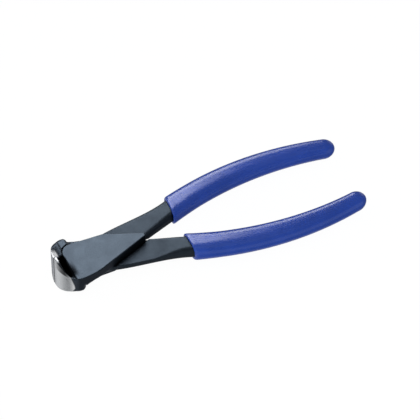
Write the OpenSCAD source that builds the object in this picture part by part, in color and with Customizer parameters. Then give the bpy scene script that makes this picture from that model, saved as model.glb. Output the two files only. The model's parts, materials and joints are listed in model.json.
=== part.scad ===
// End cutting nippers: two forged levers that cross in a lap joint, a flush rivet and two sleeve grips.
// Both levers are the same forging. The back one is the front one turned half a turn about the long axis.
// Lengths along the tool are measured from the cutting edge towards the handle ends.

/* [Overall] */
// Length from the cutting edge to the handle ends
overall_l = 200; // [180:1:220]
// Length of the cutting edge
edge_l = 24.5; // [21:0.5:28]
// Distance from the cutting edge to the rivet
pivot_x = 27; // [25:0.5:29]
// Angle that the jaws open to, in degrees
open_angle = 40; // [20:1:40]

/* [Joint] */
// Thickness of the two lapped plates together
joint_t = 13; // [12:0.1:15]
// Width across the shoulders of the head
head_w = 35.8; // [34:0.2:39]
// Distance from the cutting edge to the bend behind the shoulders
shoulder_x = 19.3; // [17:0.1:21]
// Distance from the cutting edge to the front of the plates
plate_front_x = 7.5; // [7:0.1:8.5]
// Half width of a plate on the side of the other lever's jaw
plate_far_w = 10.5; // [10:0.1:11.5]
// Corner radius of a plate beside the other lever's jaw
plate_corner_r = 6.8; // [5.5:0.1:8]
// Half width of a plate where the step down to its neck starts
plate_waist_w = 9.6; // [8.8:0.1:10.4]
// Distance from the cutting edge to the start of the step
step_x = 36; // [33:0.5:39]
// Distance from the cutting edge to the plate's rear corner
plate_rear_x = 60.3; // [57:0.1:61.5]
// Width of the blunt rear corner
plate_rear_w = 2.4; // [1.5:0.1:3.5]
// Distance from the cutting edge to the crotch of the handles
crotch_x = 63.5; // [62:0.1:66]
// Gap between the lapped faces
lap_gap = 0.1; // [0.05:0.01:0.2]

/* [Jaws] */
// Thickness of a jaw behind the cutting edge
jaw_wall = 2.3; // [1.8:0.1:3]
// Width of the land behind the cutting edge, before its bevel
edge_land = 0.6; // [0.4:0.1:1.2]
// Width of the bevel behind the land, across a jaw
edge_bevel_w = 4.5; // [3:0.1:6]
// Width of the flat beside the cutting edge on the nose of a jaw
jaw_flat_w = 1; // [0.6:0.1:3]
// Depth of the round shoulder of a jaw along the tool
jaw_round_x = 11; // [10:0.1:12]
// Distance from the cutting edge to the heel of a jaw
heel_x = 14.2; // [13.5:0.1:15]
// How far the heel stands out past the other lever's plate
heel_rise = 1.1; // [0.8:0.1:2]
// Radius along the lower edge of a jaw
jaw_edge_r = 5.2; // [4:0.1:6]
// Depth of the hollow behind a cutting edge
hollow_d = 7.2; // [6.8:0.1:8]
// Gap between the closed cutting edges
edge_gap = 0.1; // [0.05:0.01:0.3]
// Gap between a jaw and the other lever's plate
ear_gap = 0.5; // [0.4:0.05:0.7]

/* [Rivet] */
// Diameter of the rivet
rivet_d = 8; // [6:0.1:9]
// Diameter of its countersunk heads
rivet_head_d = 12; // [10.5:0.1:14]
// Height of the countersink
rivet_head_h = 2.2; // [1.5:0.1:3]
// Running clearance around the rivet in the front lever
rivet_clearance = 0.05; // [0.02:0.01:0.1]
// Clearance around the rivet where the back lever holds it
rivet_seat_clearance = 0.02; // [0.01:0.01:0.05]

/* [Handles] */
// Radius of the bow of a handle
bow_r = 200; // [170:1:240]
// Distance from the cutting edge to the widest place of the handles
bow_x = 152; // [144:1:160]
// Half spread of the handle centre lines at that place
bow_y = 28; // [26:0.25:30]
// How far a neck lies below its plate
neck_step = 2.6; // [2:0.1:3]
// Radius along the upper edges of a neck at the joint
neck_r = 1.6; // [1:0.1:2.4]
// Thickness of a handle bar at the mouth of its grip
bar_t = 9.1; // [8:0.1:10]
// Thickness of a handle bar at its end
bar_end_t = 8; // [7.2:0.1:9]
// Width of a handle bar at the mouth of its grip
bar_mouth_w = 12.8; // [11.5:0.1:14]
// Width of a handle bar halfway
bar_mid_w = 12.1; // [11:0.1:13]
// Width of a handle bar at its end
bar_end_w = 8.3; // [7.6:0.1:9.6]
// Radius along the edges of a handle bar
bar_r = 3.4; // [2.5:0.1:3.5]

/* [Grips] */
// Distance from the cutting edge to the mouth of a grip
mouth_x = 83.3; // [80:0.1:88]
// Lean of the mouth out of square with the tool, in degrees
mouth_lean = 2; // [0:1:8]
// Wall of a grip
grip_wall = 1.6; // [1.2:0.1:2.2]
// Clearance between a grip and its handle bar
grip_clearance = 0.1; // [0.05:0.01:0.2]
// Solid length at the closed end of a grip
grip_end_l = 9; // [7.5:0.5:14]
// Length of the round tip of a grip
grip_tip_l = 7.5; // [5:0.5:7.5]

/* [Hidden] */

// Roundness of bores and of lofted corners
$fn = 64;
CORNER_STEPS = 5;
CURVE_STEPS = 10;
JAW_STEPS = 12;
BAR_STEPS = 12;

// How far cuts and pieces run past the faces that they make
overrun = 0.6;
// How far a jaw's side lies inside the edge of its plate
seam_inset = 0.1;

// Heights from the lap plane
edge_h = edge_l / 2;
plate_h = joint_t / 2;
neck_h = plate_h - neck_step;
heel_h = plate_h + heel_rise;
shoulder_w = head_w / 2;
block_l = overall_l;

// A jaw's lower edge starts nearly sharp at the nose and is full this far back
jaw_edge_start_share = 0.4;
jaw_edge_full_x = 6;
// Round of the heel, the hollow blend behind it and the level below the lap plane where they meet
heel_round = 2.6;
heel_blend = 5;
heel_under = 2.4;
heel_end_x = heel_x + heel_blend;
// The window between the jaws, beside a cutting edge and at the plate's front
window_edge_y = 1;
window_plate_y = 4;

// Handle bow: a place on the arc from its turn angle, measured at the widest place
mouth_turn = asin((mouth_x - bow_x) / bow_r);
tip_end_share = 0.15;
tip_lean = (bar_end_w / 2 + grip_wall) * tip_end_share * (overall_l - bow_x) / bow_r;
tip_turn = asin((overall_l - tip_lean - bow_x) / bow_r);
turn_per_length = 180 / (PI * bow_r);
bar_end_turn = tip_turn - grip_end_l * turn_per_length;
bow_centre = [bow_x, bow_y - bow_r];
function bow_at(turn, out = 0) = bow_centre + (bow_r + out) * [sin(turn), cos(turn)];
function bow_out(turn) = [sin(turn), cos(turn)];

// Control values that bring a curve of second order through its halfway value
function mid_control(a, mid, b) = (4 * mid - a - b) / 2;
function curve2(a, c, b, t) = a * pow(1 - t, 2) + c * 2 * t * (1 - t) + b * pow(t, 2);
function curve3(a, c, d, b, t) =
    a * pow(1 - t, 3) + c * 3 * t * pow(1 - t, 2) + d * 3 * pow(t, 2) * (1 - t) + b * pow(t, 3);
function ease(t) = let (s = min(1, max(0, t))) s * s * (3 - 2 * s);
function mix(a, b, t) = a + (b - a) * t;

// Width and thickness of a handle bar at a share of its length
bar_control_w = mid_control(bar_mouth_w, bar_mid_w, bar_end_w);
bar_control_share = 0.3;
function bar_share(t) = curve2(0, bar_control_share, 1, t);
function bar_turn(t) = mix(mouth_turn, bar_end_turn, bar_share(t));
function bar_w(t) = curve2(bar_mouth_w, bar_control_w, bar_end_w, t);
function bar_h(t) = mix(bar_t, bar_end_t, bar_share(t)) / 2;

// Inner edge of a lever at the joint: one straight line from its shoulder to the crotch
mouth_inner = bow_at(mouth_turn, -bar_mouth_w / 2);
mouth_outer = bow_at(mouth_turn, bar_mouth_w / 2);
mouth_way = [cos(mouth_turn), -sin(mouth_turn)];
inner_slope = shoulder_w / (crotch_x - shoulder_x);
inner_angle = atan(inner_slope);
function inner_y(x) = inner_slope * (x - crotch_x);
shoulder_end_x = 2 * shoulder_x - jaw_round_x;

// Half width of the head: an elliptic corner, then the shoulder bend into the inner edge
function corner_w(x) =
    mix(jaw_flat_w, shoulder_w, sqrt(max(0, 1 - pow(1 - min(1, x / jaw_round_x), 2))));
shoulder_bend = [
    for (i = [0 : CURVE_STEPS])
        curve2(
            [jaw_round_x, -shoulder_w],
            [shoulder_x, -shoulder_w],
            [shoulder_end_x, inner_y(shoulder_end_x)],
            i / CURVE_STEPS
        )
];
function bend_t(x) = (x - jaw_round_x) / (shoulder_end_x - jaw_round_x);
function head_half_w(x) =
    x < jaw_round_x
        ? corner_w(x)
        : curve2(shoulder_w, shoulder_w, -inner_y(shoulder_end_x), bend_t(x));

// Round corners of a plate beside the other lever's jaw, grown by a gap
plate_corner_c = [plate_front_x + plate_corner_r, plate_far_w - plate_corner_r];
function plate_corner(grow) = [
    for (i = [0 : CURVE_STEPS])
        let (a = 90 + 90 * i / CURVE_STEPS)
            plate_corner_c + (plate_corner_r + grow) * [cos(a), sin(a)]
];

// Closed skin over rings of points, with flat ends
module loft(rings) {
    n = len(rings[0]);
    last = (len(rings) - 1) * n;
    sides = [
        for (j = [0 : len(rings) - 2], i = [0 : n - 1])
            let (a = j * n + i, b = j * n + (i + 1) % n)
                each [[a, b + n, b], [a, a + n, b + n]]
    ];
    first_end = [for (i = [1 : n - 2]) [0, i, i + 1]];
    last_end = [for (i = [1 : n - 2]) [last, last + i + 1, last + i]];
    polyhedron([for (ring = rings) each ring], concat(sides, first_end, last_end));
}

// Corner arc of a section in its own plane, as points
function corner(c, r, from) = [
    for (i = [0 : CORNER_STEPS])
        let (a = from + 90 * i / CORNER_STEPS)
            c + r * [cos(a), sin(a)]
];

// Section with round corners: half width, lower and upper level, lower and upper radius
function round_section(w, low, high, low_r, high_r) = concat(
    corner([w - high_r, high - high_r], high_r, 0),
    corner([high_r - w, high - high_r], high_r, 90),
    corner([low_r - w, low + low_r], low_r, 180),
    corner([w - low_r, low + low_r], low_r, 270)
);

// Section set upright in the tool, across a direction in the lap plane
function stand(section, c, across) = [
    for (p = section) [c.x + across.x * p.x, c.y + across.y * p.x, p.y]
];

// Level of a jaw's lower side: falling from the edge to the heel, then the heel's round and its blend
function ear_low(x) =
    x <= heel_x - heel_round
        ? -mix(heel_h, edge_h, pow(1 - x / heel_x, 2))
        : x <= heel_x
            ? mix(-heel_under, -heel_h, sqrt(max(0, 1 - pow((x - heel_x + heel_round) / heel_round, 2))))
            : mix(-heel_under, -overrun, sqrt(1 - pow(1 - (x - heel_x) / heel_blend, 2)));
function ear_edge_r(x) = min(
    mix(jaw_edge_start_share * jaw_flat_w, jaw_edge_r, ease(x / jaw_edge_full_x)),
    -ear_low(x)
);

heel_shares = [0.25, 0.5, 0.7, 0.85, 0.95, 1];
blend_shares = [0.06, 0.2, 0.45, 0.7, 1];
jaw_stations = concat(
    [for (i = [0 : JAW_STEPS]) (heel_x - heel_round) * (1 - cos(90 * i / JAW_STEPS))],
    [for (s = heel_shares) heel_x - heel_round * (1 - s)],
    [for (s = blend_shares) heel_x + heel_blend * s]
);

// Upright section of a jaw and its ear at a place along the tool
function jaw_ring(x) =
    let (
        w = head_half_w(x) - (x < plate_front_x ? 0 : seam_inset),
        low = ear_low(x),
        r = ear_edge_r(x),
        side = concat(
            [[-edge_gap / 2, edge_h], [-w, edge_h]],
            corner([r - w, low + r], r, 180),
            [[-edge_gap / 2, low]]
        )
    )
        [for (p = side) [x, p.x, p.y]];

// Plan of a plate, from its front round the shoulder, the rear corner and the step
plate_plan = concat(
    [for (s = [0 : 0.25 : 1]) let (x = mix(plate_front_x, jaw_round_x, s)) [x, -head_half_w(x)]],
    [for (i = [1 : CURVE_STEPS]) shoulder_bend[i]],
    [
        [plate_rear_x, inner_y(plate_rear_x)],
        [plate_rear_x, inner_y(plate_rear_x) + plate_rear_w],
        [step_x, plate_waist_w]
    ],
    plate_corner(0)
);

// Plan below the lap plane that the other lever needs, from closed to open, with the window between the jaws
lap_rear_x = crotch_x + plate_rear_w;
lap_reach = (crotch_x - pivot_x) * sin(inner_angle) + ear_gap;
function lap_side(turn, along) =
    [pivot_x, 0] + lap_reach * [sin(turn), cos(turn)] + along * [-cos(turn), sin(turn)];
lap_open_turn = inner_angle + open_angle;
lap_meet = lap_reach * tan(open_angle / 2);
lap_plan = concat(
    [[jaw_wall, -window_edge_y], [plate_front_x - ear_gap, -window_plate_y]],
    [for (i = [CURVE_STEPS : -1 : 0]) let (p = plate_corner(ear_gap)[i]) [p.x, -p.y]],
    [
        [heel_end_x, -plate_far_w - ear_gap],
        [heel_end_x, -head_w],
        [lap_rear_x, -head_w],
        lap_side(inner_angle, -(lap_rear_x - pivot_x) / cos(inner_angle)),
        lap_side(lap_open_turn, lap_meet),
        lap_side(lap_open_turn, head_w),
        [shoulder_x, head_w],
        [jaw_wall, head_w]
    ]
);

// Plan of the hollow behind a cutting edge: half an ellipse that ends at the shoulder
hollow_w = shoulder_w - jaw_wall;
hollow_plan = [
    for (i = [-CURVE_STEPS : CURVE_STEPS])
        let (a = 90 * i / CURVE_STEPS)
            [plate_front_x - (plate_front_x - jaw_wall) * cos(a), hollow_w * sin(a)]
];
hollow_r = (pow(hollow_w, 2) + pow(hollow_d, 2)) / (2 * hollow_d);

// Plan of the bevel behind a cutting edge, which thins the jaw wall towards the edge
bevel_end_x = jaw_wall + 2 * overrun;
bevel_plan = [
    [edge_land, overrun],
    [edge_land, -edge_gap / 2],
    [jaw_wall, -edge_bevel_w],
    [bevel_end_x, -edge_bevel_w],
    [bevel_end_x, overrun]
];

// Crown of a jaw in the end view, from the cutting edge down to the plate
crown_plan = concat(
    [
        for (i = [0 : CURVE_STEPS])
            curve2([0, edge_h], [-shoulder_w / 2, edge_h], [-shoulder_w, plate_h], i / CURVE_STEPS)
    ],
    [[-head_w, plate_h], [-head_w, edge_l], [0, edge_l]]
);

// Neck between the joint and the grip: inner and outer edge, levels and radii at a share of its length
neck_start = [shoulder_end_x, plate_waist_w];
neck_reach = (mouth_outer.x - neck_start.x) / 3;
neck_inner_reach = (mouth_inner.x - neck_start.x) / 3;
neck_rise_share = 0.35;
neck_low_share = 0.5;
neck_inner_start = [shoulder_end_x + overrun, inner_y(shoulder_end_x + overrun) + seam_inset];
function neck_outer(t) = curve3(
    neck_start,
    neck_start + neck_reach * [1, neck_rise_share],
    mouth_outer - neck_reach * mouth_way,
    mouth_outer,
    t
);
function neck_inner(t) = curve3(
    neck_inner_start,
    neck_inner_start + neck_inner_reach * [1, inner_slope],
    mouth_inner - neck_inner_reach * mouth_way,
    mouth_inner,
    t
);
function neck_low(t) = mix(-overrun, -bar_t / 2, ease((t - neck_low_share) / (1 - neck_low_share)));
function neck_ring(t) =
    let (
        a = neck_inner(t),
        b = neck_outer(t),
        low = neck_low(t),
        high = mix(neck_h, bar_t / 2, t),
        low_r = mix(overrun / 2, bar_r, ease((t - neck_low_share) / (1 - neck_low_share))),
        high_r = mix(neck_r, bar_r, t)
    )
        stand(round_section(norm(b - a) / 2, low, high, low_r, high_r), (a + b) / 2, (b - a) / norm(b - a));

// Handle bar at a share of its length, grown by a clearance or a wall
function bar_ring(t, grow = 0, push = 0) =
    let (turn = bar_turn(t) + push * turn_per_length, h = bar_h(t) + grow, r = bar_r + grow)
        stand(round_section(bar_w(t) / 2 + grow, -h, h, r, r), bow_at(turn), bow_out(turn));

// Mouth of a grip, cut nearly square to the tool and so at a slant across the bar
function mouth_ring(grow) =
    let (
        h = bar_h(0) + grow,
        r = bar_r + grow,
        slant = [1 / cos(mouth_lean - mouth_turn), 1],
        section = [for (p = round_section(bar_mouth_w / 2 + grow, -h, h, r, r)) [p.x * slant.x, p.y]]
    )
        stand(section, bow_at(mouth_turn), bow_out(mouth_lean));

// Closed tip of a grip: rings that draw in over its round length
tip_shares = [0.3, 0.55, 0.75, 0.88, 0.95, 0.98, 1];
function tip_ring(s) =
    let (
        k = max(tip_end_share, sqrt(1 - s * s)),
        turn = tip_turn - grip_tip_l * (1 - s) * turn_per_length,
        w = (bar_end_w / 2 + grip_wall) * k,
        h = (bar_end_t / 2 + grip_wall) * k,
        r = (bar_r + grip_wall) * k
    )
        stand(round_section(w, -h, h, r, r), bow_at(turn), bow_out(turn));

// Forged lever in the closed tool, with its plate above the lap plane
module lever(bore_clearance) {
    bore_r = rivet_d / 2 + bore_clearance;
    head_r = rivet_head_d / 2 + bore_clearance;
    difference() {
        union() {
            loft([for (x = jaw_stations) jaw_ring(x)]);
            translate([0, 0, -overrun])
                linear_extrude(plate_h + 2 * overrun)
                    polygon(plate_plan);
            loft(concat(
                [for (i = [0 : CURVE_STEPS]) neck_ring(i / CURVE_STEPS)],
                [for (i = [1 : BAR_STEPS]) bar_ring(i / BAR_STEPS)]
            ));
        }
        // Flat top of the plate
        translate([plate_front_x, -head_w, plate_h])
            cube([block_l, 2 * head_w, edge_l]);
        // Crown of the jaw
        translate([-overrun, 0, 0])
            rotate([90, 0, 90])
                linear_extrude(plate_front_x + 2 * overrun)
                    polygon(crown_plan);
        // Room for the other lever below the lap plane
        translate([0, 0, -edge_l])
            linear_extrude(edge_l + lap_gap / 2)
                polygon(lap_plan);
        // Hollow behind the cutting edge, with a dished floor
        intersection() {
            linear_extrude(2 * edge_l, center = true)
                polygon(hollow_plan);
            translate([0, 0, plate_h - hollow_d + hollow_r])
                rotate([0, 90, 0])
                    cylinder(h = plate_front_x + overrun, r = hollow_r);
        }
        // Bevel behind the cutting edge
        linear_extrude(2 * edge_l, center = true)
            polygon(bevel_plan);
        // Rivet bore with its countersink
        translate([pivot_x, 0, -overrun])
            cylinder(h = plate_h + 2 * overrun, r = bore_r);
        translate([pivot_x, 0, plate_h - rivet_head_h])
            cylinder(h = rivet_head_h, r1 = bore_r, r2 = head_r);
    }
}

// Sleeve grip over a handle bar, open at the mouth
module grip() {
    loft(concat(
        [bar_ring(1, grip_clearance, grip_clearance)],
        [for (i = [BAR_STEPS - 1 : -1 : 1]) bar_ring(i / BAR_STEPS, grip_clearance)],
        [mouth_ring(grip_clearance), mouth_ring(grip_wall)],
        [for (i = [1 : BAR_STEPS]) bar_ring(i / BAR_STEPS, grip_wall)],
        [for (s = tip_shares) tip_ring(s)]
    ));
}

// From the tool's own frame, at the middle of the cutting edge, to the part's: centred, resting on the jaws
module place() {
    translate([-overall_l / 2, 0, edge_h])
        children();
}
module turned() {
    rotate([180, 0, 0])
        children();
}

module front_lever() {
    color("dimgray")
        place()
            lever(rivet_clearance);
}

module back_lever() {
    color("dimgray")
        place()
            turned()
                lever(rivet_seat_clearance);
}

module pivot_rivet() {
    color("gray")
        place()
            translate([pivot_x, 0, 0])
                rotate_extrude()
                    polygon([
                        [0, -plate_h],
                        [rivet_head_d / 2, -plate_h],
                        [rivet_d / 2, rivet_head_h - plate_h],
                        [rivet_d / 2, plate_h - rivet_head_h],
                        [rivet_head_d / 2, plate_h],
                        [0, plate_h]
                    ]);
}

module front_grip() {
    color("mediumblue")
        place()
            grip();
}

module back_grip() {
    color("mediumblue")
        place()
            turned()
                grip();
}

front_lever();
back_lever();
pivot_rivet();
front_grip();
back_grip();
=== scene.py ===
"""End cutting nippers: the looks of the two forged levers, the rivet and the two dipped grips.

Shapes are worked out in millimetres in the tool's own frame: X runs from the cutting edge to the handle
ends, Y across the handles and Z along the rivet, with the lap plane at zero. They are then set in the
part's frame, in metres.
"""

from __future__ import annotations

import json
import logging
import math
from dataclasses import dataclass, field
from enum import Enum
from typing import Union

import bpy
import numpy as np
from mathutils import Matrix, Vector

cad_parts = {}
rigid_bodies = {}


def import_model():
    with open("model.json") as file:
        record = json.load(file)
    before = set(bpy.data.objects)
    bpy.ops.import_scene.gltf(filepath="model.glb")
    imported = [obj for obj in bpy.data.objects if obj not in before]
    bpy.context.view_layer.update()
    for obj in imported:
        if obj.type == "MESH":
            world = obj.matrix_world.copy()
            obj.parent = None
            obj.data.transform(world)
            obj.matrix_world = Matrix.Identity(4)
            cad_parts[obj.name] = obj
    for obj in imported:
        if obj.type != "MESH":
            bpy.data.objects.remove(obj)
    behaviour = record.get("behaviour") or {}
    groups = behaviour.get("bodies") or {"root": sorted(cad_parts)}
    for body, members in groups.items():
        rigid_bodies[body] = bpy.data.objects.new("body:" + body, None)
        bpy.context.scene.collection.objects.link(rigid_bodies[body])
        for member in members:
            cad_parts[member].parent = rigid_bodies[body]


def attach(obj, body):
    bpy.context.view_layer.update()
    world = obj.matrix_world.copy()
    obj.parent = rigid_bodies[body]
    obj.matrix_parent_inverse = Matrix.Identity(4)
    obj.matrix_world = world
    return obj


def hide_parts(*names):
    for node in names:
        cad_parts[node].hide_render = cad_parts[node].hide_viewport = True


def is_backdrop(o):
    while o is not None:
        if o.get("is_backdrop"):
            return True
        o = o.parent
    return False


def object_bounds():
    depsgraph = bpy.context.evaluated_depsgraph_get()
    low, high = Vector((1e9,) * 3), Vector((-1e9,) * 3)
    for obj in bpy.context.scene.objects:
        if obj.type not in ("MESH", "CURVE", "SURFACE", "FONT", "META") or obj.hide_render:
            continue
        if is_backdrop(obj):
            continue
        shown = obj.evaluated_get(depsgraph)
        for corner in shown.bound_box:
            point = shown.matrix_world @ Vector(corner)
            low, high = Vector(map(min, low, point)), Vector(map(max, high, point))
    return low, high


LOG = logging.getLogger("nippers")
MM = 0.001
TINY = 1e-6
PRINCIPLED = "Principled BSDF"
Colour = tuple[float, float, float]
Span = tuple[float, float]
Faces = list[tuple[int, ...]]
Values = Union[float, np.ndarray]
Grid = tuple[np.ndarray, np.ndarray, np.ndarray]
Socket = bpy.types.NodeSocket
Source = Union[Socket, float, tuple]


class Side(Enum):
    """Which of the two like levers a piece belongs to, by the name of its body."""

    FRONT = "front"
    BACK = "back"

    @property
    def turn(self) -> float:
        """Sign of Y and Z: the back lever is the front one turned half a turn about X."""
        return 1.0 if self is Side.FRONT else -1.0


class Axis(Enum):
    """Axis of a direction, by the name of a node's output."""

    X = "X"
    Y = "Y"
    Z = "Z"


def mix(a: Values, b: Values, t: Values) -> Values:
    """Value a share t of the way from a to b."""
    return a + (b - a) * t


def ease(t: Values) -> Values:
    """Smooth step from 0 to 1 as t goes from 0 to 1."""
    s = np.clip(t, 0.0, 1.0)
    return s * s * (3 - 2 * s)


def curve2(a: Values, c: Values, b: Values, t: Values) -> Values:
    """Second-order curve from a to b with control c, at share t."""
    return a * (1 - t) ** 2 + c * 2 * t * (1 - t) + b * t**2


def curve3(a: Values, c: Values, d: Values, b: Values, t: Values) -> Values:
    """Third-order curve from a to b with controls c and d, at share t."""
    return a * (1 - t) ** 3 + c * 3 * t * (1 - t) ** 2 + d * 3 * t**2 * (1 - t) + b * t**3


def round_max(a: Values, b: Values, r: Values) -> Values:
    """Distance to what two solids share, with their common edge rounded to radius r."""
    corner = np.hypot(np.maximum(a + r, 0), np.maximum(b + r, 0))
    return np.minimum(-r, np.maximum(a, b)) + corner


def round_min(a: Values, b: Values, r: Values) -> Values:
    """Distance to two solids joined, with a fillet of radius r between them."""
    return -round_max(-a, -b, r)


def circle(radius: float, z: float, around: int) -> np.ndarray:
    """Points round a circle about the Z axis, one row each."""
    a = np.linspace(0, math.tau, around, endpoint=False)
    return np.stack([radius * np.cos(a), radius * np.sin(a), np.full_like(a, z)], axis=1)


def tube(rings: int, around: int, turned: bool = False) -> Faces:
    """Quads between rings of points that follow each other.

    Args:
        rings: number of rings.
        around: number of points in each ring.
        turned: whether the quads face the other way.

    Returns:
        The quads as point numbers.
    """
    quads = []
    for low in range(0, (rings - 1) * around, around):
        for i in range(around):
            j = (i + 1) % around
            quad = (low + i, low + j, low + around + j, low + around + i)
            quads.append(quad[:1] + quad[:0:-1] if turned else quad)
    return quads


def link(name: str, data: bpy.types.ID) -> bpy.types.Object:
    """Makes an object in the scene.

    Args:
        name: name of the object.
        data: its mesh, light or camera.

    Returns:
        The object, linked into the scene.
    """
    made = bpy.data.objects.new(name, data)
    bpy.context.scene.collection.objects.link(made)
    return made


def outline_distance(points: np.ndarray, u: np.ndarray, v: np.ndarray) -> np.ndarray:
    """Signed distance to a closed outline.

    Args:
        points: corners of the outline, one row each.
        u: first coordinate of the places, as an array.
        v: second coordinate, of a shape that goes with u.

    Returns:
        The distance at each place, negative inside.
    """
    shape = np.broadcast(u, v).shape
    least = np.full(shape, np.inf)
    inside = np.zeros(shape, bool)
    for (ax, ay), (bx, by) in zip(points, np.roll(points, -1, axis=0)):
        ex, ey = bx - ax, by - ay
        length2 = ex * ex + ey * ey
        if length2 == 0:
            continue
        t = np.clip(((u - ax) * ex + (v - ay) * ey) / length2, 0, 1)
        least = np.minimum(least, (u - ax - t * ex) ** 2 + (v - ay - t * ey) ** 2)
        if ay != by:
            crossing = ax + (v - ay) * ex / ey
            inside ^= ((ay > v) != (by > v)) & (u < crossing)
    return np.where(inside, -1.0, 1.0) * np.sqrt(least)


def skin(value: np.ndarray, axes: Grid) -> tuple[np.ndarray, np.ndarray]:
    """Closed quad skin where a field on a grid crosses zero, one point to each cell that it crosses.

    Args:
        value: the field at the grid's points, negative inside.
        axes: the grid's places along X, Y and Z.

    Returns:
        The points, and the quads as rows of four point numbers, facing out.
    """
    inside = value < 0
    count = np.zeros([n - 1 for n in value.shape], np.int8)
    steps = [(i, j, k) for i in (0, 1) for j in (0, 1) for k in (0, 1)]
    for i, j, k in steps:
        count += inside[i : i - 1 or None, j : j - 1 or None, k : k - 1 or None]
    cells = np.argwhere((count > 0) & (count < len(steps)))
    number = np.full(count.shape, -1, np.int64)
    number[tuple(cells.T)] = np.arange(len(cells))

    total = np.zeros((len(cells), 3))
    hits = np.zeros(len(cells))
    for low in steps:
        for axis in range(3):
            if low[axis]:
                continue
            a = cells + low
            b = a.copy()
            b[:, axis] += 1
            fa, fb = value[tuple(a.T)], value[tuple(b.T)]
            crossed = (fa < 0) != (fb < 0)
            t = np.where(crossed, fa / np.where(crossed, fa - fb, 1), 0)
            place = np.stack([axes[n][a[:, n]] for n in range(3)], axis=1)
            place[:, axis] = mix(place[:, axis], axes[axis][b[:, axis]], t)
            total += place * crossed[:, None]
            hits += crossed
    points = total / hits[:, None]

    quads = []
    for axis in range(3):
        p, q = (axis + 1) % 3, (axis + 2) % 3
        start = [slice(None)] * 3
        end = [slice(None)] * 3
        start[axis], end[axis] = slice(None, -1), slice(1, None)
        first, second = inside[tuple(start)], inside[tuple(end)]
        for out_first in (True, False):
            found = np.argwhere((first != second) & (first == out_first))
            around = []
            for dp, dq in ((-1, -1), (0, -1), (0, 0), (-1, 0)):
                cell = found.copy()
                cell[:, p] += dp
                cell[:, q] += dq
                around.append(number[tuple(cell.T)])
            quad = np.stack(around, axis=1)
            quads.append(quad if out_first else quad[:, ::-1])
    return points, np.concatenate(quads)


def convexity(points: np.ndarray, quads: np.ndarray) -> np.ndarray:
    """How sharply a skin bends outwards at each point.

    Args:
        points: the skin's points.
        quads: the skin's quads.

    Returns:
        The distance in the skin's own unit by which a point stands out from its neighbours.
    """
    normal = np.zeros_like(points)
    across = np.cross(points[quads[:, 2]] - points[quads[:, 0]], points[quads[:, 3]] - points[quads[:, 1]])
    for n in range(4):
        np.add.at(normal, quads[:, n], across)
    normal /= np.maximum(np.linalg.norm(normal, axis=1, keepdims=True), TINY**2)
    near = np.zeros_like(points)
    many = np.zeros(len(points))
    for n in range(4):
        np.add.at(near, quads[:, n], points[quads[:, (n + 1) % 4]])
        np.add.at(many, quads[:, n], 1)
    return np.einsum("ij,ij->i", points - near / many[:, None], normal)


@dataclass(frozen=True)
class Bow:
    """The arc that a handle follows, and the handle bar along it, in millimetres."""

    length: float
    radius: float = 200
    widest_x: float = 152
    widest_y: float = 28
    mouth_x: float = 83.3
    mouth_lean: float = 2
    mouth_w: float = 12.8
    mid_w: float = 12.4
    end_w: float = 8.3
    mouth_t: float = 9.1
    end_t: float = 8
    edge_r: float = 3.4
    wall: float = 1.85
    closed_end_l: float = 9
    tip_end_share: float = 0.15
    control_share: float = 0.3

    @property
    def mouth_turn(self) -> float:
        """Turn of the arc at the mouth of the grip, in degrees."""
        return math.degrees(math.asin((self.mouth_x - self.widest_x) / self.radius))

    @property
    def tip_turn(self) -> float:
        """Turn of the arc at the tip of the grip, in degrees."""
        half_w = self.end_w / 2 + self.wall
        lean = half_w * self.tip_end_share * (self.length - self.widest_x) / self.radius
        return math.degrees(math.asin((self.length - lean - self.widest_x) / self.radius))

    @property
    def turn_per_mm(self) -> float:
        """Degrees of turn to a millimetre along the arc."""
        return math.degrees(1 / self.radius)

    @property
    def end_turn(self) -> float:
        """Turn of the arc at the end of the bar, in degrees."""
        return self.tip_turn - self.closed_end_l * self.turn_per_mm

    def out(self, turn: Values) -> np.ndarray:
        """Direction across the arc, away from the other handle, at a turn."""
        a = np.radians(turn)
        return np.stack([np.sin(a), np.cos(a)], axis=-1)

    def at(self, turn: Values, out: Values = 0.0) -> np.ndarray:
        """Place on the arc at a turn, moved outwards by a distance."""
        centre = np.array([self.widest_x, self.widest_y - self.radius])
        return centre + np.asarray(self.radius + out)[..., None] * self.out(turn)

    def share(self, t: Values) -> Values:
        """Share of the bar's arc at a share t of its stations."""
        return curve2(0, self.control_share, 1, t)

    def turn(self, t: Values) -> Values:
        """Turn of the arc at a share t of the bar's stations."""
        return mix(self.mouth_turn, self.end_turn, self.share(t))

    def width(self, t: Values) -> Values:
        """Width of the bar at a share t of its stations."""
        control = (4 * self.mid_w - self.mouth_w - self.end_w) / 2
        return curve2(self.mouth_w, control, self.end_w, t)

    def half_t(self, t: Values) -> Values:
        """Half the thickness of the bar at a share t of its stations."""
        return mix(self.mouth_t, self.end_t, self.share(t)) / 2


@dataclass(frozen=True)
class Grain:
    """A noise: its scale to the millimetre, its detail and roughness, and a further scale for each axis."""

    per_mm: float
    detail: float
    roughness: float
    axis_scale: Colour | None = None


@dataclass(frozen=True)
class GroundSteel:
    """Bright steel of the jaws, ground across and lightly buffed."""

    colour: Colour = (0.60, 0.61, 0.62)
    stain: Colour = (0.33, 0.33, 0.34)
    roughness: Span = (0.25, 0.37)
    lines: Grain = Grain(1, 3, 0.7, (0.6, 0.6, 7))
    line_span: Span = (0.35, 0.85)
    line_share: float = 0.22
    line_rough_span: Span = (0.3, 0.7)
    smudge: Grain = Grain(0.22, 3, 0.55)
    smudge_span: Span = (0.62, 0.80)


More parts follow.
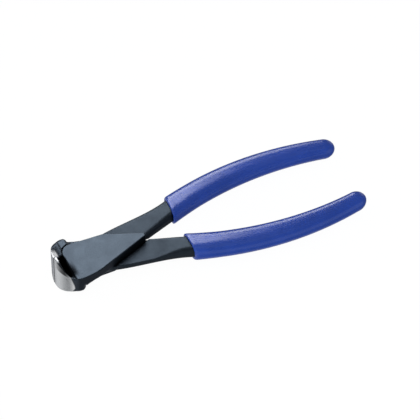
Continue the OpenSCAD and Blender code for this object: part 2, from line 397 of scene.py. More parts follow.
@dataclass(frozen=True)
class Blackened:
    """Blackened steel with a fine speckle."""

    name: str = "blackened_steel"
    dark: Colour = (0.021, 0.027, 0.035)
    pale: Colour = (0.036, 0.046, 0.058)
    roughness: Span = (0.34, 0.46)
    speckle: Grain = Grain(1 / 0.35, 2, 0.7)
    speckle_span: Span = (0.3, 0.7)
    relief: float = 0.08
    relief_mm: float = 0.05


@dataclass(frozen=True)
class BlackOxide(Blackened):
    """Blackened forged steel: bright where it's ground, near-black painted shade in the hollow, and lighter
    at its edges for wear and a painted edge highlight.
    """

    name: str = "black_oxide_steel"
    # Lighter steel on convex edges: wear, and also a painted edge highlight.
    worn_edge_highlight: Colour = (0.07, 0.075, 0.08)
    # Near-black painted shade for the hollow, the plate's front edge and the split between the cutting
    # edges.
    painted_shade: Colour = (0.0005, 0.0007, 0.0009)
    forged_roughness: float = 0.14
    painted_shade_roughness: float = 1
    cloud: Grain = Grain(1 / 9, 4, 0.6)
    cloud_share: float = 0.4
    tone_span: Span = (0.32, 0.68)
    # Span of the noise over which the edge wear and its painted edge highlight come in.
    wear_highlight_span: Span = (0.25, 0.7)
    bright: GroundSteel = GroundSteel()

    def material(self) -> bpy.types.Material:
        """Builds the node material.

        Returns:
            The material, which reads the lever's own place and its shares of ground steel, forged steel,
            painted shade, and edge wear with its painted highlight.
        """
        bright = self.bright
        nodes = Nodes(bpy.data.materials.new(self.name), PRINCIPLED)
        place = nodes.attribute("own_place", "Vector")
        names = ("ground", "wear_and_highlight", "forged", "painted_shade")
        ground, wear_and_highlight, forged, painted_shade = (nodes.attribute(name, "Fac") for name in names)
        cloud, speckle = nodes.noise(place, self.cloud), nodes.noise(place, self.speckle)
        tone = nodes.math("MULTIPLY", cloud, self.cloud_share)
        tone = nodes.math("MULTIPLY_ADD", speckle, 1 - self.cloud_share, tone)
        oxide = nodes.mix_colour(nodes.span(tone, *self.tone_span), self.dark, self.pale)
        # Lighter convex edges: wear together with a painted edge highlight.
        rub_and_highlight = nodes.math("MULTIPLY", wear_and_highlight, nodes.span(cloud, *self.wear_highlight_span))
        oxide = nodes.mix_colour(rub_and_highlight, oxide, self.worn_edge_highlight)

        lines, smudge = nodes.noise(place, bright.lines), nodes.noise(place, bright.smudge)
        steel = nodes.mix_colour(nodes.span(smudge, *bright.smudge_span), bright.colour, bright.stain)
        line_stain = nodes.span(lines, *bright.line_span, 0, bright.line_share)
        steel = nodes.mix_colour(line_stain, steel, bright.stain)
        rough_oxide = nodes.span(speckle, *self.speckle_span, *self.roughness)
        rough_oxide = nodes.math("MULTIPLY_ADD", forged, self.forged_roughness, rough_oxide)
        rough_steel = nodes.span(lines, *bright.line_rough_span, *bright.roughness)
        rough = nodes.mix_value(ground, rough_oxide, rough_steel)

        # Painted shade turns the steel near black and fully rough in the hollow, on the plate's front edge
        # and in the split.
        nodes.set("Base Color", nodes.mix_colour(painted_shade, nodes.mix_colour(ground, oxide, steel), self.painted_shade))
        nodes.set("Metallic", 1.0)
        nodes.set("Roughness", nodes.mix_value(painted_shade, rough, self.painted_shade_roughness))
        nodes.set("Normal", nodes.bump(nodes.mix_value(ground, speckle, lines), self.relief, self.relief_mm))
        return nodes.owner


@dataclass(frozen=True)
class RivetSteel(Blackened):
    """Blackened rivet steel with the rings of its last facing cut."""

    name: str = "rivet_steel"
    relief: float = 0.05
    ring_mm: float = 0.45
    ring_share: float = 0.03

    def material(self) -> bpy.types.Material:
        """Builds the node material.

        Returns:
            The material, which reads the rivet's own place for rings about its axis and a fine speckle.
        """
        nodes = Nodes(bpy.data.materials.new(self.name), PRINCIPLED)
        place = nodes.attribute("own_place", "Vector")
        speckle = nodes.noise(place, self.speckle)
        radius = nodes.length(nodes.scaled(place, (1, 1, 0)))
        rings = nodes.math("SINE", nodes.math("MULTIPLY", radius, math.tau / self.ring_mm))
        tone = nodes.math("MULTIPLY_ADD", rings, self.ring_share, speckle)
        nodes.set("Base Color", nodes.mix_colour(nodes.span(tone, *self.speckle_span), self.dark, self.pale))
        nodes.set("Roughness", nodes.span(tone, *self.speckle_span, *self.roughness))
        nodes.set("Metallic", 1.0)
        nodes.set("Normal", nodes.bump(tone, self.relief, self.relief_mm))
        return nodes.owner


@dataclass(frozen=True)
class DippedVinyl:
    """Glossy blue vinyl with a soft orange peel and handling marks."""

    name: str = "dipped_vinyl"
    deep: Colour = (0.0105, 0.055, 0.37)
    lit: Colour = (0.015, 0.067, 0.435)
    roughness: Span = (0.26, 0.31)
    ior: float = 1.5
    cloud: Grain = Grain(1 / 16, 3, 0.55)
    cloud_span: Span = (0.3, 0.7)
    peel: Grain = Grain(1 / 3.4, 2, 0.5)
    peel_relief: float = 0.012
    peel_mm: float = 0.08
    marks: Grain = Grain(0.3, 2, 0.5, (0.25, 1, 1))
    marks_span: Span = (0.35, 0.7)

    def material(self) -> bpy.types.Material:
        """Builds the node material.

        Returns:
            The material, which reads the grip's own place for colour clouds, orange peel and dull patches.
        """
        nodes = Nodes(bpy.data.materials.new(self.name), PRINCIPLED)
        place = nodes.attribute("own_place", "Vector")
        cloud = nodes.noise(place, self.cloud)
        nodes.set("Base Color", nodes.mix_colour(nodes.span(cloud, *self.cloud_span), self.deep, self.lit))
        nodes.set("Roughness", nodes.span(nodes.noise(place, self.marks), *self.marks_span, *self.roughness))
        nodes.set("IOR", self.ior)
        nodes.set("Normal", nodes.bump(nodes.noise(place, self.peel), self.peel_relief, self.peel_mm))
        return nodes.owner


class Nodes:
    """A node tree, with one short method for each kind of node that the finishes and the room use."""

    def __init__(self, owner: bpy.types.Material | bpy.types.World, shader: str) -> None:
        """Starts the nodes of a material or world from its shader.

        Args:
            owner: the material or world.
            shader: name of the shader that its tree starts with.
        """
        owner.use_nodes = True
        self.owner = owner
        self.tree = owner.node_tree
        self.shader = self.tree.nodes[shader]

    def add(self, kind: str, sources: dict[str | int, Source], **settings: str) -> bpy.types.Node:
        """Adds a node.

        Args:
            kind: type of the node.
            sources: what each input gets, by name or number: an output to join, a number or a colour.
            settings: choices to set on the node.

        Returns:
            The node.
        """
        node = self.tree.nodes.new(kind)
        for name, choice in settings.items():
            setattr(node, name, choice)
        for key, source in sources.items():
            self.plug(source, node.inputs[key])
        return node

    def plug(self, source: Source, socket: Socket) -> None:
        """Feeds an input socket.

        Args:
            source: an output to join, a number or a colour.
            socket: the input that gets it.
        """
        if isinstance(source, Socket):
            self.tree.links.new(source, socket)
        elif isinstance(source, tuple) and socket.type == "RGBA":
            socket.default_value = (*source, 1.0)
        else:
            socket.default_value = source

    def set(self, socket: str, source: Source) -> None:
        """Feeds one of the shader's sockets."""
        self.plug(source, self.shader.inputs[socket])

    def attribute(self, name: str, output: str) -> Socket:
        """Reads a value that the mesh keeps at its points."""
        return self.add("ShaderNodeAttribute", {}, attribute_name=name).outputs[output]

    def direction(self) -> dict[Axis, Socket]:
        """Direction in which a world is seen.

        Returns:
            What it has along each axis.
        """
        coordinates = self.add("ShaderNodeTexCoord", {})
        split = self.add("ShaderNodeSeparateXYZ", {0: coordinates.outputs["Generated"]})
        return {axis: split.outputs[axis.value] for axis in Axis}

    def noise(self, place: Source, grain: Grain) -> Socket:
        """Soft noise at a place.

        Args:
            place: where the noise is read.
            grain: its scale and kind.

        Returns:
            The noise, about 0.5 on average.
        """
        vector = self.scaled(place, grain.axis_scale) if grain.axis_scale else place
        sources = {"Vector": vector, "Scale": grain.per_mm}
        sources |= {"Detail": grain.detail, "Roughness": grain.roughness}
        return self.add("ShaderNodeTexNoise", sources).outputs["Fac"]

    def math(self, operation: str, *values: Source) -> Socket:
        """Arithmetic on up to three values."""
        return self.add("ShaderNodeMath", dict(enumerate(values)), operation=operation).outputs[0]

    def scaled(self, place: Source, scale: Colour) -> Socket:
        """A place scaled along each axis."""
        return self.add("ShaderNodeVectorMath", {0: place, 1: scale}, operation="MULTIPLY").outputs[0]

    def length(self, place: Source) -> Socket:
        """Distance of a place from the origin."""
        return self.add("ShaderNodeVectorMath", {0: place}, operation="LENGTH").outputs["Value"]

    def span(self, value: Source, low: float, high: float, to_low: float = 0, to_high: float = 1) -> Socket:
        """Maps a value smoothly from one span to another.

        Args:
            value: the value to map.
            low: value at which the map starts.
            high: value at which it ends.
            to_low: what it gives at its start.
            to_high: what it gives at its end.

        Returns:
            The mapped value, held at the ends.
        """
        sources = dict(enumerate((value, low, high, to_low, to_high)))
        return self.add("ShaderNodeMapRange", sources, interpolation_type="SMOOTHSTEP").outputs[0]

    def mix_colour(self, share: Source, a: Source, b: Source) -> Socket:
        """Colour a share of the way from a to b."""
        return self.add("ShaderNodeMix", {0: share, 6: a, 7: b}, data_type="RGBA").outputs[2]

    def mix_value(self, share: Source, a: Source, b: Source) -> Socket:
        """Number a share of the way from a to b."""
        return self.add("ShaderNodeMix", {0: share, 2: a, 3: b}).outputs[0]

    def bump(self, height: Source, strength: float, depth_mm: float) -> Socket:
        """Fine relief from a height."""
        sources = {"Strength": strength, "Distance": depth_mm * MM, "Height": height}
        return self.add("ShaderNodeBump", sources).outputs[0]


@dataclass(frozen=True)
class Setting:
    """Where the tool's own frame lies in the part's frame, in millimetres."""

    length: float
    edge_h: float

    def into_part(self, points: np.ndarray, side: Side) -> np.ndarray:
        """Moves points of a lever or grip into the part's frame.

        Args:
            points: places in the piece's own frame, in millimetres.
            side: the lever that the piece belongs to.

        Returns:
            The places in the part's frame, in metres.
        """
        turned = points * np.array([1, side.turn, side.turn])
        return (turned + np.array([-self.length / 2, 0, self.edge_h])) * MM


@dataclass
class Piece:
    """A mesh of the dressed part: points in their own frame, faces and the values kept at its points."""

    name: str
    points: np.ndarray
    faces: Faces | np.ndarray
    values: dict[str, np.ndarray] = field(default_factory=dict)

    def make(self, places: np.ndarray, finish: bpy.types.Material) -> bpy.types.Object:
        """Builds the object.

        Args:
            places: the points in the part's frame, in metres.
            finish: the material.

        Returns:
            The new object, linked into the scene.
        """
        mesh = bpy.data.meshes.new(self.name)
        mesh.from_pydata(places.tolist(), [], [list(f) for f in self.faces])
        own = mesh.attributes.new("own_place", "FLOAT_VECTOR", "POINT")
        own.data.foreach_set("vector", self.points.astype(np.float32).ravel())
        for name, value in self.values.items():
            kept = mesh.attributes.new(name, "FLOAT", "POINT")
            kept.data.foreach_set("value", value.astype(np.float32))
        mesh.shade_smooth()
        mesh.materials.append(finish)
        mesh.update()
        return link(self.name, mesh)


@dataclass
class Lever:
    """A forged lever: jaw with its hollow, plate above the lap plane, neck and tang, in millimetres."""

    bow: Bow
    edge_h: float

    # Head and joint
    pivot_x: float = 27
    open_angle: float = 40
    half_w: float = 17.9
    shoulder_x: float = 19.6
    crotch_x: float = 63.5
    lap_gap: float = 0.1
    edge_gap: float = 0.1
    ear_gap: float = 0.28
    bore_r: float = 4.05
    seat_r: float = 6.05
    seat_h: float = 2.2
    overrun: float = 0.6

    # Plate
    plate_h: float = 6.5
    plate_front_x: float = 7.5
    plate_far_w: float = 11.1
    plate_corner_r: float = 6.8
    plate_waist_w: float = 10.4
    step_x: float = 36
    plate_rear_x: float = 60.3
    plate_rear_w: float = 2.4
    plate_edge_r: float = 0.45
    plate_front_r: float = 1.5
    lap_edge_r: float = 0.2

    # Jaw
    jaw_wall: float = 2.3
    jaw_flat_w: float = 0.7
    jaw_round_x: float = 11
    nose_lead: float = 0.05
    nose_power: float = 1.85
    jaw_edge_r: float = 3.8
    jaw_edge_full_x: float = 9
    nose_edge_r: float = 0.4
    heel_x: float = 14.4
    heel_h: float = 6.8
    fall_power: float = 3.5
    heel_round: float = 2
    heel_blend: float = 4.9
    heel_under: float = 3.4
    heel_ledge: float = 0.1
    rim_r: float = 0.25
    rim_fillet: float = 1.4

    # Cutting edge and the hollow behind it
    edge_land: float = 1.9
    edge_bevel_w: float = 4.5
    edge_break: float = 0.4
    hollow_d: float = 5.5
    hollow_fillet: float = 1.0
    rim_flare: float = 1.3
    flare_d: float = 2.2
    flare_start: float = 0.5
    window_edge_y: float = 1
    window_plate_y: float = 4

    # Neck
    neck_step: float = 2.6
    neck_r: float = 1.6
    neck_rise_share: float = 0.35
    neck_low_share: float = 0.5
    step_fillet: float = 0.8

    # Limits of the bright steel, the painted shade, and the edge wear with its painted highlight
    ground_level_shares: tuple[float, ...] = (-1, -0.8, -0.6, -0.44, -0.18, 0, 0.46, 1)
    ground_reach: tuple[float, ...] = (2.6, 3.4, 5, 5.8, 6.95, 6.7, 5.3, 4.5)
    rim_w: float = 0.35
    corner_w: float = 3
    corner_share: float = 0.42
    corner_fade: float = 1.5
    # Painted shade in the hollow, over the plate's front edge and in the split between the cutting edges
    painted_shade_margin: float = 0.4
    painted_shade_fade: float = 1.2
    # Painted shade spreading onto the plate's top beside the hollow
    painted_plate_shade_share: float = 0.85
    painted_plate_shade_l: float = 5
    # Edge wear with a painted edge highlight on convex edges
    wear_highlight_start: float = 0.10
    wear_highlight_span: float = 0.18

    # Cells of the grid
    cell: float = 0.34
    neck_cell: float = 0.6
    tang_cell: float = 1.5

    # Steps along the outlines
    nose_steps: int = 48
    curve_steps: int = 24
    crown_steps: int = 32
    side_steps: int = 16
    hollow_steps: int = 64
    neck_steps: int = 32
    bar_steps: int = 48

    def half_width(self, x: Values) -> Values:
        """Half width of the head.

        Args:
            x: distance from the cutting edge.

        Returns:
            Half the width of both jaws there: the round nose, then the bend of the shoulder.
        """
        into = np.clip((x + self.nose_lead) / (self.jaw_round_x + self.nose_lead), 0, 1)
        full = (1 - (1 - into) ** self.nose_power) ** (1 / self.nose_power)
        corner = mix(self.jaw_flat_w, self.half_w, full)
        t = (x - self.jaw_round_x) / (self.bend_end_x - self.jaw_round_x)
        bend = curve2(self.half_w, self.half_w, -self.inner_y(self.bend_end_x), t)
        return np.where(x < self.jaw_round_x, corner, bend)

    @property
    def bend_end_x(self) -> float:
        """Where the shoulder's bend runs out into the straight inner edge."""
        return 2 * self.shoulder_x - self.jaw_round_x

    @property
    def inner_slope(self) -> float:
        """Slope of the straight inner edge from the shoulder to the crotch."""
        return self.half_w / (self.crotch_x - self.shoulder_x)

    def inner_y(self, x: Values) -> Values:
        """Place of the straight inner edge across the tool."""
        return self.inner_slope * (x - self.crotch_x)

    @property
    def heel_end_x(self) -> float:
        """Where the blend behind the heel ends."""
        return self.heel_x + self.heel_blend

    @property
    def heel_start_x(self) -> float:
        """Where the round of the heel starts."""
        return self.heel_x - self.heel_round

    @property
    def far(self) -> float:
        """A distance well outside the head."""
        return 4 * self.edge_h

    def nose_edge(self) -> np.ndarray:
        """Plan of the jaw's outer edge.

        Returns:
            Its points, from the cutting edge to the end of the blend behind the heel.
        """
        depth = self.jaw_round_x + self.nose_lead
        nose = depth * (1 - np.cos(np.linspace(0, math.pi / 2, self.nose_steps))) - self.nose_lead
        rest = np.linspace(self.jaw_round_x, self.heel_end_x, self.side_steps + 1)[1:]
        x = np.concatenate([nose, rest])
        return np.stack([x, -self.half_width(x)], axis=1)

    def jaw_outline(self) -> np.ndarray:
        """Plan of the jaw and its ear."""
        half_gap = -self.edge_gap / 2
        return np.concatenate([self.nose_edge(), [[self.heel_end_x, half_gap], [-self.nose_lead, half_gap]]])

    def head_outline(self) -> np.ndarray:
        """Plan of both jaws together."""
        edge = self.nose_edge()
        return np.concatenate([edge, edge[::-1] * np.array([1, -1])])

    def jaw_low(self, x: Values) -> Values:
        """Level of the jaw's lower side.

        Args:
            x: distance from the cutting edge.

        Returns:
            The level of the fall from the edge, of the round of the heel or of the blend behind it.
        """
        fall = -mix(self.heel_h, self.edge_h, np.clip(1 - x / self.heel_x, 0, 1) ** self.fall_power)
        into_heel = np.clip((x - self.heel_start_x) / self.heel_round, 0, 1)
        heel = mix(-self.heel_under, -self.heel_h, np.sqrt(1 - into_heel**2))
        into_blend = np.clip((x - self.heel_x) / self.heel_blend, 0, 1)
        blend = mix(-self.heel_under, -self.heel_ledge, np.sqrt(1 - (1 - into_blend) ** 2))
        return np.where(x <= self.heel_start_x, fall, np.where(x <= self.heel_x, heel, blend))

    def jaw_profile(self) -> np.ndarray:
        """Side view of the jaw above its lower side.

        Returns:
            The outline along X and Z, carried on far above the jaw and before it.
        """
        quarter = np.linspace(0, math.pi / 2, self.curve_steps)
        fall = np.linspace(0, self.heel_start_x, self.curve_steps)
        heel = self.heel_start_x + self.heel_round * np.sin(quarter)[1:]
        blend = self.heel_x + self.heel_blend * (1 - np.cos(quarter))[1:]
        x = np.concatenate([fall, heel, blend])
        low = np.stack([x, self.jaw_low(x)], axis=1)
        far = self.far
        return np.concatenate([[[-far, -self.edge_h]], low, [[self.heel_end_x, far], [-far, far]]])

    def jaw_radius(self, x: Values) -> Values:
        """Radius along the jaw's lower edge at a distance from the cutting edge."""
        full = mix(self.nose_edge_r, self.jaw_edge_r, ease(x / self.jaw_edge_full_x))
        return np.minimum(full, -self.under(x) / 2)

    def under(self, x: Values) -> Values:
        """Level of the jaw's lower side, carried on level past its ends."""
        return self.jaw_low(np.clip(x, 0, self.heel_end_x))

    def crown(self) -> np.ndarray:
        """End view of the room below the jaw's crown.

        Returns:
            The outline along Y and Z, whose upper side falls from the cutting edge to the plate.
        """
        t = np.linspace(0, 1, self.crown_steps)[:, None]
        edge, corner = np.array([0, self.edge_h]), np.array([-self.half_w / 2, self.edge_h])
        curve = curve2(edge, corner, np.array([-self.half_w, self.plate_h]), t)
        far = self.far
        below = [[-far, self.plate_h], [-far, -far], [far, -far]]
        return np.concatenate([[[far, self.edge_h]], curve, below])

    def plate_corner(self, grow: float) -> np.ndarray:
        """Round corner of the plate beside the other lever's jaw.

        Args:
            grow: gap by which it is grown.

        Returns:
            Its points, from the far edge to the front.
        """
        a = np.radians(np.linspace(90, 180, self.curve_steps))
        centre = np.array([self.plate_front_x + self.plate_corner_r, self.plate_far_w - self.plate_corner_r])
        return centre + (self.plate_corner_r + grow) * np.stack([np.cos(a), np.sin(a)], axis=1)

    def plate_outline(self) -> np.ndarray:
        """Plan of the plate.

        Returns:
            The outline, from its front round the shoulder, the rear corner and the step.
        """
        front = np.linspace(self.plate_front_x, self.jaw_round_x, self.side_steps)
        bend = np.linspace(self.jaw_round_x, self.bend_end_x, self.curve_steps)[1:]
        x = np.concatenate([front, bend])
        shoulder = np.stack([x, -self.half_width(x)], axis=1)
        rear_y = self.inner_y(self.plate_rear_x)
        rear = [
            [self.plate_rear_x, rear_y],
            [self.plate_rear_x, rear_y + self.plate_rear_w],
            [self.step_x, self.plate_waist_w],
        ]
        return np.concatenate([shoulder, rear, self.plate_corner(0)])

    def lap_outline(self) -> np.ndarray:
        """Plan below the lap plane that the other lever needs from closed to open.

        Returns:
            The outline, with the window behind the cutting edge.
        """
        angle = math.atan(self.inner_slope)
        opened = angle + math.radians(self.open_angle)
        reach = (self.crotch_x - self.pivot_x) * math.sin(angle) + self.ear_gap
        rear_x = self.crotch_x + self.plate_rear_w
        wide = 2 * self.half_w

        def side(turn: float, along: float) -> list[float]:
            """Place along the other lever's edge when it stands at a turn."""
            x = self.pivot_x + reach * math.sin(turn) - along * math.cos(turn)
            return [x, reach * math.cos(turn) + along * math.sin(turn)]

        corner = self.plate_corner(self.ear_gap)[::-1] * np.array([1, -1])
        window = [
            [self.jaw_wall, -self.window_edge_y],
            [self.plate_front_x - self.ear_gap, -self.window_plate_y],
        ]
        rest = [
            [self.heel_end_x, -self.plate_far_w - self.ear_gap],
            [self.heel_end_x, -wide],
            [rear_x, -wide],
            side(angle, -(rear_x - self.pivot_x) / math.cos(angle)),
            side(opened, reach * math.tan(math.radians(self.open_angle / 2))),
            side(opened, wide),
            [self.shoulder_x, wide],
            [self.jaw_wall, wide],
        ]
        return np.concatenate([window, corner, rest])

    @property
    def hollow_w(self) -> float:
        """Half width of the hollow behind the cutting edge."""
        return self.half_w - self.jaw_wall

    def hollow_outline(self) -> np.ndarray:
        """Plan of the hollow behind the cutting edge.

        Returns:
            The outline, half an ellipse on the front of the plate.
        """
        a = np.linspace(-math.pi / 2, math.pi / 2, self.hollow_steps)
        depth = self.plate_front_x - self.jaw_wall
        return np.stack([self.plate_front_x - depth * np.cos(a), self.hollow_w * np.sin(a)], axis=1)

    def bevel_outline(self) -> np.ndarray:
        """Plan of the bevel that thins the jaw wall towards the cutting edge.

        Returns:
            The outline.
        """
        end_x = self.jaw_wall + 2 * self.overrun
        return np.array(
            [
                [self.edge_land, self.overrun],
                [self.edge_land, -self.edge_gap / 2],
                [self.jaw_wall, -self.edge_bevel_w],
                [end_x, -self.edge_bevel_w],
                [end_x, self.overrun],
            ]
        )

    def break_depth(self, x: Values, y: Values) -> Values:
        """How far a place lies outside the broken edge beside the joint of the jaws."""
        return (self.edge_break - self.nose_lead - x + y) / math.sqrt(2)

    def neck(self) -> tuple[np.ndarray, dict[str, np.ndarray]]:
        """Plan of the neck and tang, and the levels and radii along them.

        Returns:
            The outline, and by name the stations along X with the lower and upper level and radius there.
        """
        bow = self.bow
        t = np.linspace(0, 1, self.neck_steps + 1)[:, None]
        along = np.array([math.cos(math.radians(bow.mouth_turn)), -math.sin(math.radians(bow.mouth_turn))])
        start_out = np.array([self.bend_end_x, self.plate_waist_w])
        start_x = self.bend_end_x + self.overrun
        start_in = np.array([start_x, self.inner_y(start_x)])
        end_in = bow.at(bow.mouth_turn, -bow.mouth_w / 2)
        end_out = bow.at(bow.mouth_turn, bow.mouth_w / 2)
        reach_out = (end_out[0] - start_out[0]) / 3
        reach_in = (end_in[0] - self.bend_end_x) / 3
        rise = np.array([1, self.neck_rise_share])
        run = np.array([1, self.inner_slope])
        outer = curve3(start_out, start_out + reach_out * rise, end_out - reach_out * along, end_out, t)
        inner = curve3(start_in, start_in + reach_in * run, end_in - reach_in * along, end_in, t)
        s = np.linspace(0, 1, self.bar_steps + 1)[1:]
        bar_in = bow.at(bow.turn(s), -bow.width(s) / 2)
        bar_out = bow.at(bow.turn(s), bow.width(s) / 2)
        outline = np.concatenate([inner, bar_in, bar_out[::-1], outer[::-1]])

        t = t[:, 0]
        sink = ease((t - self.neck_low_share) / (1 - self.neck_low_share))
        top = self.plate_h - self.neck_step
        bar = bow.half_t(s)
        round_edge = np.full_like(s, bow.edge_r)
        levels = {
            "x": np.concatenate([((inner + outer) / 2)[:, 0], bow.at(bow.turn(s))[:, 0]]),
            "low": np.concatenate([mix(-self.overrun, -bow.mouth_t / 2, sink), -bar]),
            "high": np.concatenate([mix(top, bow.mouth_t / 2, t), bar]),
            "low_r": np.concatenate([mix(self.overrun / 2, bow.edge_r, sink), round_edge]),
            "high_r": np.concatenate([mix(self.neck_r, bow.edge_r, t), round_edge]),
        }
        return outline, levels

    def grid(self) -> Grid:
        """Places of the grid on which the fields are worked out.

        Returns:
            The places along X, fine at the head and long over the tang, and those along Y and Z.
        """
        margin = 3 * self.cell
        neck_x, mouth_x = self.bend_end_x, self.bow.mouth_x
        end_x = float(self.bow.at(self.bow.end_turn, self.bow.end_w / 2)[0]) + margin
        head, neck = np.arange(-margin, neck_x, self.cell), np.arange(neck_x, mouth_x, self.neck_cell)
        x = np.concatenate([head, neck, np.arange(mouth_x, end_x + self.tang_cell, self.tang_cell)])
        top_y = self.bow.widest_y + self.bow.mouth_w / 2 + margin
        y = np.arange(-self.half_w - margin, top_y + self.cell, self.cell)
        z = np.arange(-self.edge_h - margin, self.edge_h + margin + self.cell, self.cell)
        return x, y, z

    def jaw_field(self, x: np.ndarray, y: np.ndarray, z: np.ndarray) -> np.ndarray:
        """Field of the jaw and ear with the crown, the hollow and the flat that carries on the plate.

        Args:
            x: places along the tool.
            y: places across it.
            z: levels.

        Returns:
            The distance from the skin, negative inside the steel.
        """
        plan = outline_distance(self.jaw_outline(), x, y)
        side = outline_distance(self.jaw_profile(), x, z)
        jaw = round_max(plan, side, self.jaw_radius(x))
        crown = outline_distance(self.crown(), y, z)
        upper = round_max(jaw, crown, self.rim_r)
        upper = round_max(upper, x - self.plate_front_x, self.rim_r)
        lower = round_max(jaw, z - self.plate_h, self.plate_edge_r)
        fillet = self.rim_fillet * ease(-plan / (2 * self.rim_fillet)) + TINY
        jaw = round_min(upper, lower, fillet)
        dish_r = (self.hollow_w**2 + self.hollow_d**2) / (2 * self.hollow_d)
        dish = np.hypot(y, z - (self.plate_h - self.hollow_d + dish_r)) - dish_r
        flare = self.rim_flare * ease(1 + crown / self.flare_d)
        flare = flare * ease(-y / self.edge_bevel_w - self.flare_start)
        hollow = round_max(outline_distance(self.hollow_outline(), x, y) - flare, dish, self.hollow_fillet)
        hollow = np.minimum(hollow, np.maximum(outline_distance(self.bevel_outline(), x, y), -z))
        at_plate = ease((x - self.plate_front_x) / self.plate_front_r + 1)
        jaw = round_max(jaw, -hollow, mix(self.rim_r, self.front_radius(y), at_plate))
        return np.maximum(jaw, self.break_depth(x, y))

    def plate_field(self, x: np.ndarray, y: np.ndarray, z: np.ndarray) -> np.ndarray:
        """Field of the plate, softest along its front.

        Args:
            x: places along the tool.
            y: places across it.
            z: levels.

        Returns:
            The distance from the skin, negative inside the steel.
        """
        plan = outline_distance(self.plate_outline(), x, y)
        beside = np.maximum((x - self.plate_front_x) / self.plate_front_r, y / self.window_plate_y)
        radius = mix(self.front_radius(y), self.plate_edge_r, ease(beside))
        plate = round_max(plan, z - self.plate_h, radius)
        return round_max(plate, self.lap_gap / 2 - z, self.lap_edge_r)

    def front_radius(self, y: Values) -> Values:
        """Radius of the plate's front edge, which grows towards the jaw."""
        return self.plate_front_r * mix(1, 2, ease(-y / self.plate_far_w))

    def neck_field(self, x: np.ndarray, y: np.ndarray, z: np.ndarray) -> np.ndarray:
        """Field of the neck and tang.

        Args:
            x: places along the tool.
            y: places across it.
            z: levels.

        Returns:
            The distance from the skin, negative inside the steel.
        """
        outline, levels = self.neck()
        low, high, low_r, high_r = (
            np.interp(x, levels["x"], levels[name]) for name in ("low", "high", "low_r", "high_r")
        )
        neck = round_max(outline_distance(outline, x, y), z - high, high_r)
        return round_max(neck, low - z, low_r)

    def field(self, x: np.ndarray, y: np.ndarray, z: np.ndarray) -> np.ndarray:
        """Field of the whole lever.

        Args:
            x: places along the tool.
            y: places across it.
            z: levels.

        Returns:
            The distance from the skin, negative inside the steel.
        """
        head = np.minimum(self.jaw_field(x, y, z), self.plate_field(x, y, z))
        from_edge = (y - self.inner_y(x)) / math.hypot(1, self.inner_slope)
        fillet = self.step_fillet * ease(from_edge / (4 * self.step_fillet)) + TINY
        solid = round_min(head, self.neck_field(x, y, z), fillet)
        lap_plan = outline_distance(self.lap_outline(), x, y)
        solid = round_max(solid, -np.maximum(lap_plan, z - self.lap_gap / 2), self.lap_edge_r)
        from_pivot = np.hypot(x - self.pivot_x, y)
        slope = (self.seat_r - self.bore_r) / self.seat_h
        seat = (from_pivot - self.seat_r + slope * (self.plate_h - z)) / math.hypot(1, slope)
        return round_max(solid, -np.minimum(from_pivot - self.bore_r, seat), self.lap_edge_r / 2)

    def ground_share(self, points: np.ndarray) -> np.ndarray:
        """How far the grinding of the nose reaches.

        Args:
            points: places on the lever's skin.

        Returns:
            The share at each place, 1 on bright steel and 0 on the black.
        """
        x, y, z = points.T
        reach = np.interp(z, np.array(self.ground_level_shares) * self.edge_h, self.ground_reach)
        plan = outline_distance(self.head_outline(), x, y)
        below_crown = -outline_distance(self.crown(), y, z)
        outer = ease((plan + self.rim_w) / self.cell) * ease(below_crown / self.rim_w)
        towards_edge = ease(2 + self.corner_fade * y / self.edge_bevel_w)
        corner = ease((plan + self.corner_w) / self.cell) * towards_edge
        lower = ease((self.under(x) + 2 * self.cell - z) / self.cell)
        top = np.maximum(self.corner_share * corner, lower * ease(2 + y / self.edge_bevel_w))
        return ease((reach - x) / (2 * self.cell) + 0.5) * np.maximum(outer, top)

    def forged_share(self, points: np.ndarray) -> np.ndarray:
        """Where the steel is left rough from the forge.

        Args:
            points: places on the lever's skin.

        Returns:
            The share at each place, 1 on the neck and 0 on the plate and jaw.
        """
        x, y = points[:, 0], points[:, 1]
        off_plate = ease(outline_distance(self.plate_outline(), x, y) / (2 * self.cell))
        return off_plate * ease((x - self.heel_x) / self.heel_blend)

    def painted_shade_share(self, points: np.ndarray) -> np.ndarray:
        """Where the steel is painted near black as shade.

        Args:
            points: places on the lever's skin.

        Returns:
            The share at each place: 1 deep in the hollow and in the broken edge, and less where the painted
                shade spreads onto the plate's top.
        """
        x, y, z = points.T
        # Painted shade: near black deep in the hollow, over the plate's front edge and in the split between
        # the cutting edges.
        at_plate = ease((x - self.plate_front_x) / self.cell + 1)
        deep_jaw = ease((-outline_distance(self.crown(), y, z) - self.painted_shade_margin) / self.cell)
        deep_plate = ease((self.plate_h - z) / (self.painted_shade_fade * self.front_radius(y)))
        inside = ease((-outline_distance(self.head_outline(), x, y) - self.edge_land) / self.cell)
        near = ease((self.plate_front_x + self.front_radius(y) - x) / self.cell)
        above = ease((z - self.under(x) - self.painted_shade_margin) / self.cell)
        beside = ease(2 - y / self.window_plate_y)
        beyond = ease((self.hollow_w - np.abs(y)) / (2 * self.jaw_wall))
        hollow = mix(deep_jaw, deep_plate * beside, at_plate) * inside * near * above * beyond
        # Painted shade carried onto the plate's top beside the hollow.
        painted_plate_shade = ease(1 - (x - self.plate_front_x) / self.painted_plate_shade_l) * ease(-y / self.plate_far_w) * beyond
        hollow = np.maximum(hollow, self.painted_plate_shade_share * painted_plate_shade * ease((z - self.plate_h) / self.cell + 2))
        # Painted shade in the split between the cutting edges.
        return np.maximum(hollow, ease((self.break_depth(x, y) + self.cell / 2) / (self.cell / 2)))

